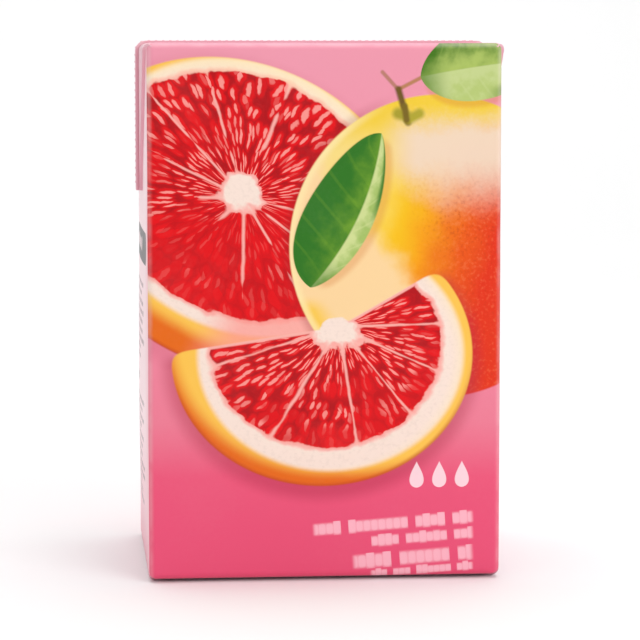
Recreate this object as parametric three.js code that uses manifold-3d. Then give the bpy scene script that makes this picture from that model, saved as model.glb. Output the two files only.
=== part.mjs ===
// A juice carton of about one litre: a brick pack folded and sealed from one sheet of laminated board.
// Units are millimetres. +Z is up, the front panel faces -Y, and the origin is on the standing plane,
// under the middle of the pack.
import * as THREE from "three";
import { mergeVertices } from "three/addons/utils/BufferGeometryUtils.js";
import Module from "manifold-3d";

// Driving dimensions
const PACK_WIDTH = 92; // across the front panel, crease to crease
const PACK_DEPTH = 79; // across a side panel, crease to crease
const PACK_HEIGHT = 140; // from the standing plane to the top panel
const CREASE_RADIUS = 1.8; // outside radius of the folded edges
const CORNER_RADIUS = 2.2; // of the four upright edges
const FRONT_BULGE = 1.8; // how far the juice pushes out the front and back panels
const SIDE_BULGE = 1.0; // the same for the two side panels, below their ears
const FLAP_THICKNESS = 0.9; // a flattened ear is two layers of board
const FIN_WIDTH = 8; // the sealed strip across the top and the base, folded towards the back
const FIN_THICKNESS = 0.8; // two layers of board, pressed together
const SEAM_X = 26; // where the sheet's raw edge runs up the back panel
const SEAM_STEP = 0.4; // one layer of board
const SEAM_RAMP = 14; // over which the overlap flattens out again

// How finely the curved surfaces are split
const FRONT_COLUMNS = 12;
const SIDE_COLUMNS = 8;
const HEIGHT_STEPS = 14;
const ROUND_STEPS = 4;

// Sizes that follow from those
const HALF_WIDTH = PACK_WIDTH / 2;
const HALF_DEPTH = PACK_DEPTH / 2;
const EAR_LENGTH = HALF_DEPTH; // an ear is half as long as the side that it is folded from
const BODY_BOTTOM = FLAP_THICKNESS; // the base ears lie under the base panel
const EAR_TIP_Z = PACK_HEIGHT - EAR_LENGTH;
const FRONT_REACH = HALF_WIDTH - CORNER_RADIUS; // where the flat of the front panel ends
const SIDE_REACH = HALF_DEPTH - CORNER_RADIUS;
const SUNK = 1; // how deep a flap or fin runs into what it is sealed to
const EAR_INSET = 0.6; // an ear's sloping edges stay this far inside the pack's corners
const BOARD_COLOUR = 0xea6a8c;

const wasm = await Module();
wasm.setup();

// A closed three.js geometry as a solid that can be joined and cut.
function solidOf(geometry) {
  const bare = new THREE.BufferGeometry();
  bare.setAttribute("position", geometry.getAttribute("position"));
  if (geometry.index) bare.setIndex(geometry.index);
  const merged = mergeVertices(bare, 1e-4);
  return new wasm.Manifold(
    new wasm.Mesh({
      numProp: 3,
      vertProperties: new Float32Array(merged.getAttribute("position").array),
      triVerts: new Uint32Array(merged.index.array),
    }),
  );
}

// The joined solid as a three.js geometry.
function geometryOf(solid) {
  const mesh = solid.getMesh();
  const geometry = new THREE.BufferGeometry();
  geometry.setAttribute("position", new THREE.BufferAttribute(mesh.vertProperties, 3));
  geometry.setIndex(new THREE.BufferAttribute(mesh.triVerts, 1));
  geometry.computeVertexNormals();
  return geometry;
}

// A shape drawn in the X-Z plane, pushed along +Y from one place to another.
function alongY(shape, from, to) {
  const geometry = new THREE.ExtrudeGeometry(shape, {
    depth: to - from,
    bevelEnabled: false,
    curveSegments: ROUND_STEPS,
  });
  return solidOf(geometry.rotateX(Math.PI / 2).translate(0, to, 0));
}

// A shape drawn in the Y-Z plane, pushed along +X from one place to another.
function alongX(shape, from, to) {
  const geometry = new THREE.ExtrudeGeometry(shape, { depth: to - from, bevelEnabled: false });
  return solidOf(geometry.rotateX(Math.PI / 2).rotateZ(Math.PI / 2).translate(from, 0, 0));
}

// A shape drawn in the X-Y plane, pushed along +Z from one place to another.
function alongZ(shape, from, to) {
  const geometry = new THREE.ExtrudeGeometry(shape, { depth: to - from, bevelEnabled: false });
  return solidOf(geometry.translate(0, 0, from));
}

// Evenly spaced places from one end of a panel to the other.
function columns(reach, count) {
  return Array.from({ length: count + 1 }, (_, i) => -reach + (2 * reach * i) / count);
}

// How far the overlap of the sheet's two edges lifts the back panel at x.
function seamLift(x) {
  const beyond = x - SEAM_X;
  return beyond <= 0 || beyond >= SEAM_RAMP ? 0 : SEAM_STEP * (1 - beyond / SEAM_RAMP);
}

// 1 in the middle of a span and 0 at both of its ends.
function crown(value, low, high) {
  const across = (2 * value - low - high) / (high - low);
  return Math.max(0, 1 - across * across);
}

// The pack's outline from above, with a point wherever the panels have to bend.
function packOutline() {
  const front = columns(FRONT_REACH, FRONT_COLUMNS);
  const side = columns(SIDE_REACH, SIDE_COLUMNS);
  const seamEdge = 0.2; // width of the raw edge's step
  const back = [...front, SEAM_X, SEAM_X + seamEdge].sort((a, b) => b - a);
  const shape = new THREE.Shape();
  shape.moveTo(-FRONT_REACH, -HALF_DEPTH);
  front.slice(1).forEach((x) => shape.lineTo(x, -HALF_DEPTH));
  shape.absarc(FRONT_REACH, -SIDE_REACH, CORNER_RADIUS, -Math.PI / 2, 0);
  side.slice(1).forEach((y) => shape.lineTo(HALF_WIDTH, y));
  shape.absarc(FRONT_REACH, SIDE_REACH, CORNER_RADIUS, 0, Math.PI / 2);
  back.slice(1).forEach((x) => shape.lineTo(x, HALF_DEPTH));
  shape.absarc(-FRONT_REACH, SIDE_REACH, CORNER_RADIUS, Math.PI / 2, Math.PI);
  side.slice(1).forEach((y) => shape.lineTo(-HALF_WIDTH, -y));
  shape.absarc(-FRONT_REACH, -SIDE_REACH, CORNER_RADIUS, Math.PI, (3 * Math.PI) / 2);
  return shape;
}

// The filled body: four bulging panels between rounded creases, and the seam up the back.
function body() {
  const geometry = new THREE.ExtrudeGeometry(packOutline(), {
    depth: PACK_HEIGHT - BODY_BOTTOM - 2 * CREASE_RADIUS,
    steps: HEIGHT_STEPS,
    curveSegments: ROUND_STEPS,
    bevelThickness: CREASE_RADIUS,
    bevelSize: CREASE_RADIUS,
    bevelOffset: -CREASE_RADIUS,
    bevelSegments: ROUND_STEPS,
  }).translate(0, 0, BODY_BOTTOM + CREASE_RADIUS);
  const place = geometry.getAttribute("position");
  for (let i = 0; i < place.count; i++) {
    const [x, y, z] = [place.getX(i), place.getY(i), place.getZ(i)];
    if (Math.abs(x) <= FRONT_REACH && Math.abs(y) > SIDE_REACH - CREASE_RADIUS) {
      const push = FRONT_BULGE * crown(x, -FRONT_REACH, FRONT_REACH) * crown(z, BODY_BOTTOM, PACK_HEIGHT);
      place.setY(i, y + Math.sign(y) * push + (y > 0 ? seamLift(x) : 0));
    } else if (Math.abs(y) <= SIDE_REACH && z < EAR_TIP_Z) {
      const push = SIDE_BULGE * crown(y, -SIDE_REACH, SIDE_REACH) * crown(z, BODY_BOTTOM, EAR_TIP_Z);
      place.setX(i, x + Math.sign(x) * push);
    }
  }
  return solidOf(geometry);
}

// The right-hand ear at the top: the flattened corner of the sheet, folded down over the side panel.
function topEar() {
  const outside = HALF_WIDTH + FLAP_THICKNESS;
  const bend = new THREE.Shape();
  bend.moveTo(HALF_WIDTH - SUNK, EAR_TIP_Z);
  bend.lineTo(outside, EAR_TIP_Z);
  bend.lineTo(outside, PACK_HEIGHT - CREASE_RADIUS);
  bend.absarc(outside - CREASE_RADIUS, PACK_HEIGHT - CREASE_RADIUS, CREASE_RADIUS, 0, Math.PI / 2);
  bend.lineTo(HALF_WIDTH - CREASE_RADIUS - SUNK, PACK_HEIGHT);
  bend.lineTo(HALF_WIDTH - CREASE_RADIUS - SUNK, PACK_HEIGHT - CREASE_RADIUS - SUNK);
  bend.lineTo(HALF_WIDTH - SUNK, PACK_HEIGHT - CREASE_RADIUS - SUNK);
  const half = HALF_DEPTH - EAR_INSET;
  const triangle = new THREE.Shape();
  triangle.moveTo(0, EAR_TIP_Z + EAR_INSET);
  triangle.lineTo(half, PACK_HEIGHT);
  triangle.lineTo(half, PACK_HEIGHT + SUNK);
  triangle.lineTo(-half, PACK_HEIGHT + SUNK);
  triangle.lineTo(-half, PACK_HEIGHT);
  return alongY(bend, -HALF_DEPTH, HALF_DEPTH).intersect(alongX(triangle, 0, PACK_WIDTH));
}

// The right-hand ear at the base, folded in under the base panel. The pack stands on the two of them.
function baseEar() {
  const joinZ = CREASE_RADIUS + SUNK; // how far up the side panel the fold is joined
  const innerX = HALF_WIDTH - EAR_LENGTH;
  const bend = new THREE.Shape();
  bend.moveTo(innerX, 0);
  bend.lineTo(HALF_WIDTH - CREASE_RADIUS, 0);
  bend.absarc(HALF_WIDTH - CREASE_RADIUS, CREASE_RADIUS, CREASE_RADIUS, -Math.PI / 2, 0);
  bend.lineTo(HALF_WIDTH, joinZ);
  bend.lineTo(HALF_WIDTH - CREASE_RADIUS - SUNK, joinZ);
  bend.lineTo(HALF_WIDTH - CREASE_RADIUS - SUNK, BODY_BOTTOM + SUNK);
  bend.lineTo(innerX, BODY_BOTTOM + SUNK);
  const half = HALF_DEPTH - CORNER_RADIUS;
  const triangle = new THREE.Shape();
  triangle.moveTo(innerX + EAR_INSET, 0);
  triangle.lineTo(HALF_WIDTH, -half);
  triangle.lineTo(HALF_WIDTH + SUNK, -half);
  triangle.lineTo(HALF_WIDTH + SUNK, half);
  triangle.lineTo(HALF_WIDTH, half);
  return alongY(bend, -HALF_DEPTH, HALF_DEPTH).intersect(alongZ(triangle, -SUNK, PACK_HEIGHT / 2));
}

// The top's sealed fin: it lies flat across the top panel and runs down both ears to their tips.
function topFin() {
  const ear = HALF_WIDTH + FLAP_THICKNESS;
  const bendX = ear - CREASE_RADIUS;
  const bendZ = PACK_HEIGHT - CREASE_RADIUS;
  const radius = CREASE_RADIUS + FIN_THICKNESS;
  const strip = new THREE.Shape();
  strip.moveTo(-ear - FIN_THICKNESS, EAR_TIP_Z);
  strip.lineTo(-ear - FIN_THICKNESS, bendZ);
  strip.absarc(-bendX, bendZ, radius, Math.PI, Math.PI / 2, true);
  strip.lineTo(bendX, PACK_HEIGHT + FIN_THICKNESS);
  strip.absarc(bendX, bendZ, radius, Math.PI / 2, 0, true);
  strip.lineTo(ear + FIN_THICKNESS, EAR_TIP_Z);
  strip.lineTo(HALF_WIDTH - SUNK, EAR_TIP_Z);
  strip.lineTo(HALF_WIDTH - SUNK, bendZ - SUNK);
  strip.lineTo(-HALF_WIDTH + SUNK, bendZ - SUNK);
  strip.lineTo(-HALF_WIDTH + SUNK, EAR_TIP_Z);
  return alongY(strip, 0, FIN_WIDTH);
}

// The base's sealed fin, flat under the base panel and tucked beneath both base ears.
function baseFin() {
  const length = PACK_WIDTH - 2 * FIN_WIDTH;
  const height = FIN_THICKNESS + SUNK;
  const geometry = new THREE.BoxGeometry(length, FIN_WIDTH, height);
  const underside = BODY_BOTTOM - FIN_THICKNESS;
  return solidOf(geometry.translate(0, FIN_WIDTH / 2, underside + height / 2));
}

const carton = body()
  .add(topEar())
  .add(topEar().rotate([0, 0, 180]))
  .add(baseEar())
  .add(baseEar().rotate([0, 0, 180]))
  .add(topFin())
  .add(baseFin());

const material = new THREE.MeshStandardMaterial({
  color: BOARD_COLOUR,
  roughness: 0.4,
  metalness: 0,
});
const mesh = new THREE.Mesh(geometryOf(carton), material);
mesh.name = "carton";

const pack = new THREE.Group();
pack.add(mesh);

export default pack;
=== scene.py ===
"""A juice carton of about one litre: a sealed brick pack of laminated board with a citrus print.

Laid out as an add-on and run as a script. Lengths are metres, +Z is up and the front panel faces -Y.
"""

import math
from functools import partialmethod

import bmesh
import bpy
import numpy as np
from bpy.props import FloatProperty, FloatVectorProperty, PointerProperty
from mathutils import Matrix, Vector


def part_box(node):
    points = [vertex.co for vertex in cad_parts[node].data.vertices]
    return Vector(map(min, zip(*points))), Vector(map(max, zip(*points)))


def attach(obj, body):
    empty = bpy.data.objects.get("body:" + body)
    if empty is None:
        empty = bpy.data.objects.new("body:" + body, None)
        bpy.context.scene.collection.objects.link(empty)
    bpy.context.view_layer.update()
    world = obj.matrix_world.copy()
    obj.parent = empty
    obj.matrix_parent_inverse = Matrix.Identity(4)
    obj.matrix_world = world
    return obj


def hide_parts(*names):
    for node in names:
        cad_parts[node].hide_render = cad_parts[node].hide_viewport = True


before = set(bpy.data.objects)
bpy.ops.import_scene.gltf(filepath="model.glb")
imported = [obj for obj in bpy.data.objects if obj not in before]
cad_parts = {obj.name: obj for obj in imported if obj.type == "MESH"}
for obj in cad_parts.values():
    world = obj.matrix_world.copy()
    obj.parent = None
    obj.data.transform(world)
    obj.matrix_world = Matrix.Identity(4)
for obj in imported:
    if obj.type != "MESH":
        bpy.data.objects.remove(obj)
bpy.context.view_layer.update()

bl_info = {
    "name": "Juice carton",
    "version": (1, 0, 0),
    "blender": (4, 5, 0),
    "location": "3D View > Sidebar > Juice carton",
    "description": "Dresses the packed solid of a brick pack as a printed juice carton",
    "category": "Object",
}

LOW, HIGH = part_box("carton")
MM = 0.001
TURN = 2 * math.pi

# Board sizes that the outside of the solid is measured from
EAR_BOARD = 0.9 * MM
FIN_BOARD = 0.8 * MM
SIDE_LAYERS = EAR_BOARD + FIN_BOARD
PANEL_BULGE = 1.8 * MM


def number(name, description, default, unit="NONE", precision=2):
    """A number that a user can change."""
    return FloatProperty(name=name, description=description, default=default, unit=unit, precision=precision)


def length(name, description, default):
    """A length that a user can change."""
    return number(name, description, default, "LENGTH", 5)


def angle(name, description, degrees):
    """An angle that a user can change."""
    return number(name, description, math.radians(degrees), "ROTATION")


def linear(red, green, blue):
    """A colour seen on a screen, from 0 to 255, as the linear values that shaders take."""
    shares = [channel / 255 for channel in (red, green, blue)]
    return tuple(s / 12.92 if s <= 0.04045 else ((s + 0.055) / 1.055) ** 2.4 for s in shares)


def ink(name, description, red, green, blue):
    """A printed colour that a user can change."""
    return FloatVectorProperty(
        name=name, description=description, subtype="COLOR", min=0, max=1, default=linear(red, green, blue)
    )


class CartonSizes(bpy.types.PropertyGroup):
    """Sizes of the folded pack"""

    width: length("Width", "Across the front panel, crease to crease", HIGH.x - LOW.x - 2 * SIDE_LAYERS)
    depth: length("Depth", "Across a side panel, crease to crease", HIGH.y - LOW.y - 2 * PANEL_BULGE)
    height: length("Height", "From the standing plane to the top panel", HIGH.z - FIN_BOARD)
    crease: length("Crease radius", "Outside radius of the folded edges", 2.0 * MM)
    front_bulge: length("Front bulge", "How far the juice pushes out the front and back panels", PANEL_BULGE)
    side_bulge: length("Side bulge", "The same for the side panels, below their ears", 1.0 * MM)
    top_dish: length("Top dish", "How far the top panel sinks between its edges and the fin", 0.5 * MM)
    pinch: length("Corner pinch", "How far the panels are drawn in below the top corners", 0.5 * MM)
    waviness: length("Waviness", "Slow unevenness of the board", 0.16 * MM)
    ear_board: length("Ear thickness", "Two layers of board", EAR_BOARD)
    fin_board: length("Fin thickness", "Two layers of board, pressed together", FIN_BOARD)
    fin_width: length("Fin width", "Of the sealed strips across the top and the base", 8.0 * MM)
    seam_place: length("Seam place", "Where the sheet's raw edge runs up the back panel", 26.0 * MM)
    seam_step: length("Seam step", "One layer of board", 0.4 * MM)
    seam_ramp: length("Seam ramp", "Over which the overlap flattens out again", 14.0 * MM)
    pip_pitch: length("Pip pitch", "Between the pressed pips of the seal", 1.9 * MM)
    slit_pitch: length("Slit pitch", "Between the slits of the tear line", 2.6 * MM)


class CartonInks(bpy.types.PropertyGroup):
    """Colours of the print and the bare board"""

    ground_top: ink("Ground, top", "Pink at the top of the front", 238, 152, 172)
    ground_low: ink("Ground, foot", "Pink at the foot of the front", 234, 82, 120)
    blush: ink("Blush", "Top panel and ears", 231, 168, 182)
    side: ink("Side", "Ground of the side panels", 254, 222, 227)
    text: ink("Text grey", "Headings on the side panels", 74, 62, 66)
    pale: ink("Pale pink", "Rows on the front and the back", 255, 190, 204)
    flesh: ink("Flesh", "Citrus flesh", 232, 6, 18)
    flesh_deep: ink("Deep flesh", "Citrus flesh in its darker cells", 208, 3, 16)
    streak: ink("Streak", "Pale streaks in the flesh", 250, 150, 142)
    pith: ink("Pith", "Pith and core", 248, 226, 213)
    peel_light: ink("Light peel", "Peel next to the pith", 251, 196, 80)
    peel_deep: ink("Deep peel", "Outer peel", 230, 106, 16)
    leaf_deep: ink("Deep leaf", "Leaf in its darker half", 46, 116, 30)
    leaf_light: ink("Light leaf", "Leaf in its lighter half", 124, 170, 46)
    leaf_rim: ink("Leaf rim", "Midrib and turned edge", 206, 218, 146)
    board: ink("Bare board", "Cut edges of the sheet", 236, 222, 204)


class CartonStage(bpy.types.PropertyGroup):
    """Camera and lights"""

    distance: length("Camera distance", "From the pack's middle, over the floor", 0.775)
    eye: length("Eye height", "Of the camera over the floor", 0.1354)
    azimuth: angle("Azimuth", "Camera's way round the pack", -5.02)
    yaw: angle("Yaw", "Which way the camera looks", -5.18)
    pitch: angle("Pitch", "How far the camera looks down", 5.2)
    lens: number("Lens", "Focal length", 160.3, "CAMERA")
    key: number("Key light", "From the front right", 4.4, "POWER")
    fill: number("Fill light", "From the front left", 0.7, "POWER")
    top: number("Top light", "Over the pack and the floor", 3.6, "POWER")
    backdrop: number("Backdrop light", "On the wall behind", 6.5, "POWER")
    sky: number("Sky", "Strength of the plain surroundings", 0.55)


def sizes():
    """Sizes that a user can change."""
    return bpy.context.scene.carton_sizes


def inks(*names):
    """Inks that a user can change, by name."""
    return {name: getattr(bpy.context.scene.carton_inks, name) for name in names}


# Drawing node trees


def titled(values):
    """The same values under the titles of a group's sockets: core_ring becomes Core Ring."""
    return {name.replace("_", " ").title(): value for name, value in values.items()}


def opaque(colour):
    """A colour of three values with a full alpha."""
    return (*colour, 1.0)


class Field:
    """A value that changes over a surface. Sums and products of fields become Math nodes."""

    def __init__(self, graph, socket):
        self.graph = graph
        self.socket = socket

    def apply(self, operation, *others):
        return self.graph.math(operation, self, *others)

    __add__ = __radd__ = partialmethod(apply, "ADD")
    __sub__ = partialmethod(apply, "SUBTRACT")
    __mul__ = __rmul__ = partialmethod(apply, "MULTIPLY")
    __truediv__ = partialmethod(apply, "DIVIDE")
    __neg__ = partialmethod(apply, "MULTIPLY", -1)
    power = partialmethod(apply, "POWER")
    above = partialmethod(apply, "GREATER_THAN")
    least = partialmethod(apply, "MINIMUM")
    most = partialmethod(apply, "MAXIMUM")
    soft_least = partialmethod(apply, "SMOOTH_MIN")
    size = partialmethod(apply, "ABSOLUTE")
    root = partialmethod(apply, "SQRT")
    sine = partialmethod(apply, "SINE")
    whole = partialmethod(apply, "FLOOR")
    part = partialmethod(apply, "FRACT")
    sign = partialmethod(apply, "SIGN")

    def __rsub__(self, other):
        return self.graph.math("SUBTRACT", other, self)

    def rise(self, start, end):
        """0 before start, 1 after end and smooth between. With start above end it falls instead."""
        values = {"Value": self, "From Min": start, "From Max": end}
        return self.graph.field("ShaderNodeMapRange", values, interpolation_type="SMOOTHSTEP")


class Graph:
    """A node tree being drawn. Most methods add one node and hand back what comes out of it."""

    COLUMN = 12
    STEP = 190

    def __init__(self, tree):
        self.tree = tree

    def node(self, kind, values=None, **settings):
        made = self.tree.nodes.new(kind)
        place = len(self.tree.nodes)
        made.location = (place // self.COLUMN * self.STEP, -(place % self.COLUMN) * self.STEP)
        for name, value in settings.items():
            setattr(made, name, value)
        for key, value in (values or {}).items():
            self.feed(made.inputs[key], value)
        return made

    def out(self, kind, values=None, **settings):
        return self.node(kind, values, **settings).outputs[0]

    def field(self, kind, values=None, **settings):
        return Field(self, self.out(kind, values, **settings))

    def feed(self, socket, value):
        """Links what comes out of a node to a socket, or sets a fixed value there."""
        if isinstance(value, Field):
            value = value.socket
        if isinstance(value, bpy.types.NodeSocket):
            self.tree.links.new(value, socket)
        else:
            socket.default_value = opaque(value) if socket.type == "RGBA" else value

    def math(self, operation, *values):
        return self.field("ShaderNodeMath", dict(enumerate(values)), operation=operation)

    def vector_math(self, operation, values):
        return self.out("ShaderNodeVectorMath", values, operation=operation)

    def split(self, vector):
        made = self.node("ShaderNodeSeparateXYZ", {0: vector})
        return [Field(self, socket) for socket in made.outputs]

    def join(self, x, y, z):
        return self.out("ShaderNodeCombineXYZ", {0: x, 1: y, 2: z})

    def mix(self, share, under, over):
        made = self.node("ShaderNodeMix", {0: share, 6: under, 7: over}, data_type="RGBA")
        return made.outputs[2]

    def paint(self, colour, *layers):
        """A colour with others laid over it in turn, each by its share."""
        for share, over in layers:
            colour = self.mix(share, colour, over)
        return colour

    def noise(self, vector, scale, detail=2.0):
        return self.field("ShaderNodeTexNoise", {"Vector": vector, "Scale": scale, "Detail": detail})

    def cells(self, vector):
        """Cells over a plane: the way from a cell's middle, and two chance values that hold all over it."""
        made = self.node("ShaderNodeTexVoronoi", {"Vector": vector, "Scale": 1}, voronoi_dimensions="2D")
        chances = self.node("ShaderNodeSeparateColor", {0: made.outputs["Color"]})
        right, up, _ = self.split(self.vector_math("SUBTRACT", {0: vector, 1: made.outputs["Position"]}))
        sockets = (made.outputs["Distance"], chances.outputs[0], chances.outputs[1])
        distance, chance, shade = (Field(self, socket) for socket in sockets)
        return {"Right": right, "Up": up, "Distance": distance, "Chance": chance, "Shade": shade}

    def chance(self, x, y):
        """A chance value from 0 to 1 for each pair of numbers."""
        return self.field("ShaderNodeTexWhiteNoise", {"Vector": self.join(x, y, 0)}, noise_dimensions="2D")

    def ramp(self, value, stops):
        """Colours in order along a value from 0 to 1."""
        made = self.node("ShaderNodeValToRGB", {0: value})
        elements = made.color_ramp.elements
        while len(elements) < len(stops):
            elements.new(0.5)
        for element, (place, _) in zip(elements, stops):
            element.position = place
        for element, (_, colour) in zip(elements, stops):
            element.color = opaque(colour)
        return made.outputs[0]

    def place(self, point, x, z, size, turn=0.0, stretch=1.0):
        """The point as seen from a figure at x, z, in its own size, turned left by degrees."""
        values = {
            "Vector": point,
            "Location": (x, 0, z),
            "Rotation": (0, -math.radians(turn), 0),
            "Scale": (size * stretch, size, size),
        }
        return self.out("ShaderNodeMapping", values, vector_type="TEXTURE")

    def use(self, group, point, **values):
        """A shader group placed in this tree: what comes out of it by name."""
        made = self.node("ShaderNodeGroup", {"Point": point, **titled(values)}, node_tree=group())
        return {socket.name: Field(self, socket) for socket in made.outputs}


OUTPUT_KINDS = {"Colour": "Color", "Geometry": "Geometry"}


def new_group(draw, tree_kind, inputs):
    """A node group from a function that gets a graph and the inputs, and hands back the outputs by name.

    An input is stated by its default, a number or a vector, or by its kind alone.
    """
    tree = bpy.data.node_groups.new(draw.__name__, tree_kind)
    for label, value in titled(inputs).items():
        by_kind = isinstance(value, str)
        kind = value if by_kind else "Vector" if isinstance(value, tuple) else "Float"
        socket = tree.interface.new_socket(label, in_out="INPUT", socket_type="NodeSocket" + kind)
        if not by_kind:
            socket.default_value = value
    graph = Graph(tree)
    source = graph.node("NodeGroupInput")
    made = draw(graph, {socket.name: Field(graph, socket) for socket in source.outputs})
    for label in made:
        kind = OUTPUT_KINDS.get(label, "Float")
        tree.interface.new_socket(label, in_out="OUTPUT", socket_type="NodeSocket" + kind)
    sink = graph.node("NodeGroupOutput")
    for label, value in made.items():
        graph.feed(sink.inputs[label], value)
    return tree


def node_group(tree_kind, inputs):
    """Turns a drawing function into one that hands back its group, built once and then shared."""

    def wrap(draw):
        return lambda: bpy.data.node_groups.get(draw.__name__) or new_group(draw, tree_kind, inputs)

    return wrap


def shader_group(*colours, **numbers):
    """A shader group that reads a point, numbers and colours."""
    return node_group("ShaderNodeTree", {"point": "Vector", **numbers, **dict.fromkeys(colours, "Color")})


def geometry_tree(*lengths):
    """A geometry tree that reads named lengths."""
    return node_group("GeometryNodeTree", {"geometry": "Geometry", **dict.fromkeys(lengths, "Float")})


# Shader groups: figures of the print

CITRUS_INKS = ("flesh", "flesh_deep", "streak", "pith", "peel_light", "peel_deep")
LEAF_INKS = ("leaf_deep", "leaf_light", "leaf_rim")
NOTCH_LEFT = math.radians(190)
NOTCH_RIGHT = math.radians(33)


@shader_group(
    *CITRUS_INKS,
    segments=10,
    turn=0,
    notch=0,
    shine=0.5,
    membranes=0,
    pink=0,
    ripe=0.45,
    core_ring=(0, 0, 0.12),
    flesh_ring=(0, 0, 0.84),
    pith_ring=(0, 0, 0.95),
    peel_ring=(0, 0, 1),
)
def citrus_face(graph, given):
    """A cut citrus of radius 1: streaked segments round a pale core, pith and peel.

    A ring holds the X and Z of its middle and its radius. A notch of 1 leaves the wedge between two cuts.
    """
    x, _, z = graph.split(given["Point"])

    def past(ring, lower=0):
        """How far the point is outside a ring, or outside that ring set a little lower."""
        middle_x, middle_z, reach = graph.split(given[ring])
        right, up = x - middle_x, z - middle_z + lower
        return (right * right + up * up).root() - reach

    radius = (x * x + z * z).root()
    angle = graph.math("ARCTAN2", z, x)
    wobble = graph.noise(given["Point"], 7, 3) - 0.5
    patches = graph.noise(given["Point"], 2.6)

    sweep = (angle + given["Turn"]) * given["Segments"] / TURN + (angle * 2 + given["Turn"]).sine() * 0.22
    beside = 0.5 - ((sweep + wobble * 0.06).part() - 0.5).size()
    hidden = patches.rise(0.46, 0.60) * (1 - given["Membranes"])
    gap = beside * radius * TURN / given["Segments"] + hidden * 0.05
    left = x * math.sin(NOTCH_LEFT) - z * math.cos(NOTCH_LEFT)
    right = z * math.cos(NOTCH_RIGHT) - x * math.sin(NOTCH_RIGHT)
    out_of_reach = 10
    cut = left.least(right) - (1 - given["Notch"]) * out_of_reach
    core = past("Core Ring") - (x - z) * 0.12 - wobble * 0.26
    outline = (gap - 0.002).soft_least(wobble * 0.10 - past("Flesh Ring"), 0.05)
    outline = outline.soft_least(core, 0.06).least(-cut - 0.010)

    cell = graph.cells(graph.join(angle * 12 + wobble * 1.4, radius * 9 + patches * 2, 0))
    pulp = citrus_pulp(graph, given, x, z, cell)
    outer = past("Peel Ring")
    rind = citrus_rind(graph, given, x, z, outline, past("Pith Ring"), outer)
    edge = (-outer).soft_least(-cut, 0.16).most(wobble * 0.08 - past("Core Ring") - 0.024)
    return {
        "Colour": graph.mix(outline.rise(0, 0.014), rind, pulp),
        "Inside": edge.rise(-0.010, 0.006),
        "Shadow": past("Peel Ring", 0.05).rise(0.12, -0.02) * cut.rise(0.02, -0.10),
    }


def citrus_pulp(graph, given, x, z, cell):
    """Flesh in long cells. Towards the light, more of them have a pale gleam."""
    dark_wall = linear(140, 6, 18)
    light = graph.noise(given["Point"], 3.1) + z * 0.34 - x * 0.16
    lively = light.rise(0.60 - given["Shine"] * 0.3, 0.80 - given["Shine"] * 0.3)
    often = (cell["Chance"] + lively * 0.25).rise(0.15, 0.70)
    gleam = 1 - ((cell["Right"] - 0.06) / 0.25).power(2) - (cell["Up"] / 0.46).power(2)
    return graph.paint(
        given["Flesh"],
        (cell["Shade"] * 0.8, given["Flesh Deep"]),
        (cell["Distance"].rise(0.40, 0.70) * (0.2 + lively * 0.4), dark_wall),
        (gleam.rise(0, 0.7) * often * (0.14 + lively * 0.86), given["Streak"]),
    )


def citrus_rind(graph, given, x, z, outline, past_pith, past_peel):
    """Grainy pith, tinted where it meets the flesh, and peel that deepens outwards and downwards."""
    grey_grain, cream, dark_edge = linear(226, 204, 192), linear(253, 230, 184), linear(190, 58, 26)
    grain = graph.noise(given["Point"], 38, 2).rise(0.45, 0.75)
    pith = graph.paint(
        given["Pith"],
        (grain * 0.3, grey_grain),
        (outline.rise(-0.035, 0) * 0.75, given["Streak"]),
        (past_peel.rise(-0.16, 0) * 0.8, cream),
    )
    ripe = past_pith * 3.5 - z * 0.6 - x.most(0) * 0.5 - given["Ripe"]
    peel = graph.paint(
        given["Peel Light"],
        (ripe.rise(0, 0.55), given["Peel Deep"]),
        (past_peel.rise(-0.035, 0.005) * (-z).rise(0.1, 0.9) * 0.7, dark_edge),
    )
    pink_foot = x.rise(0.05, 0.35) * (-z).rise(0.3, 0.6) * given["Pink"]
    return graph.paint(pith, (past_pith.rise(-0.025, 0.025), peel), (pink_foot, given["Streak"]))


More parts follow.
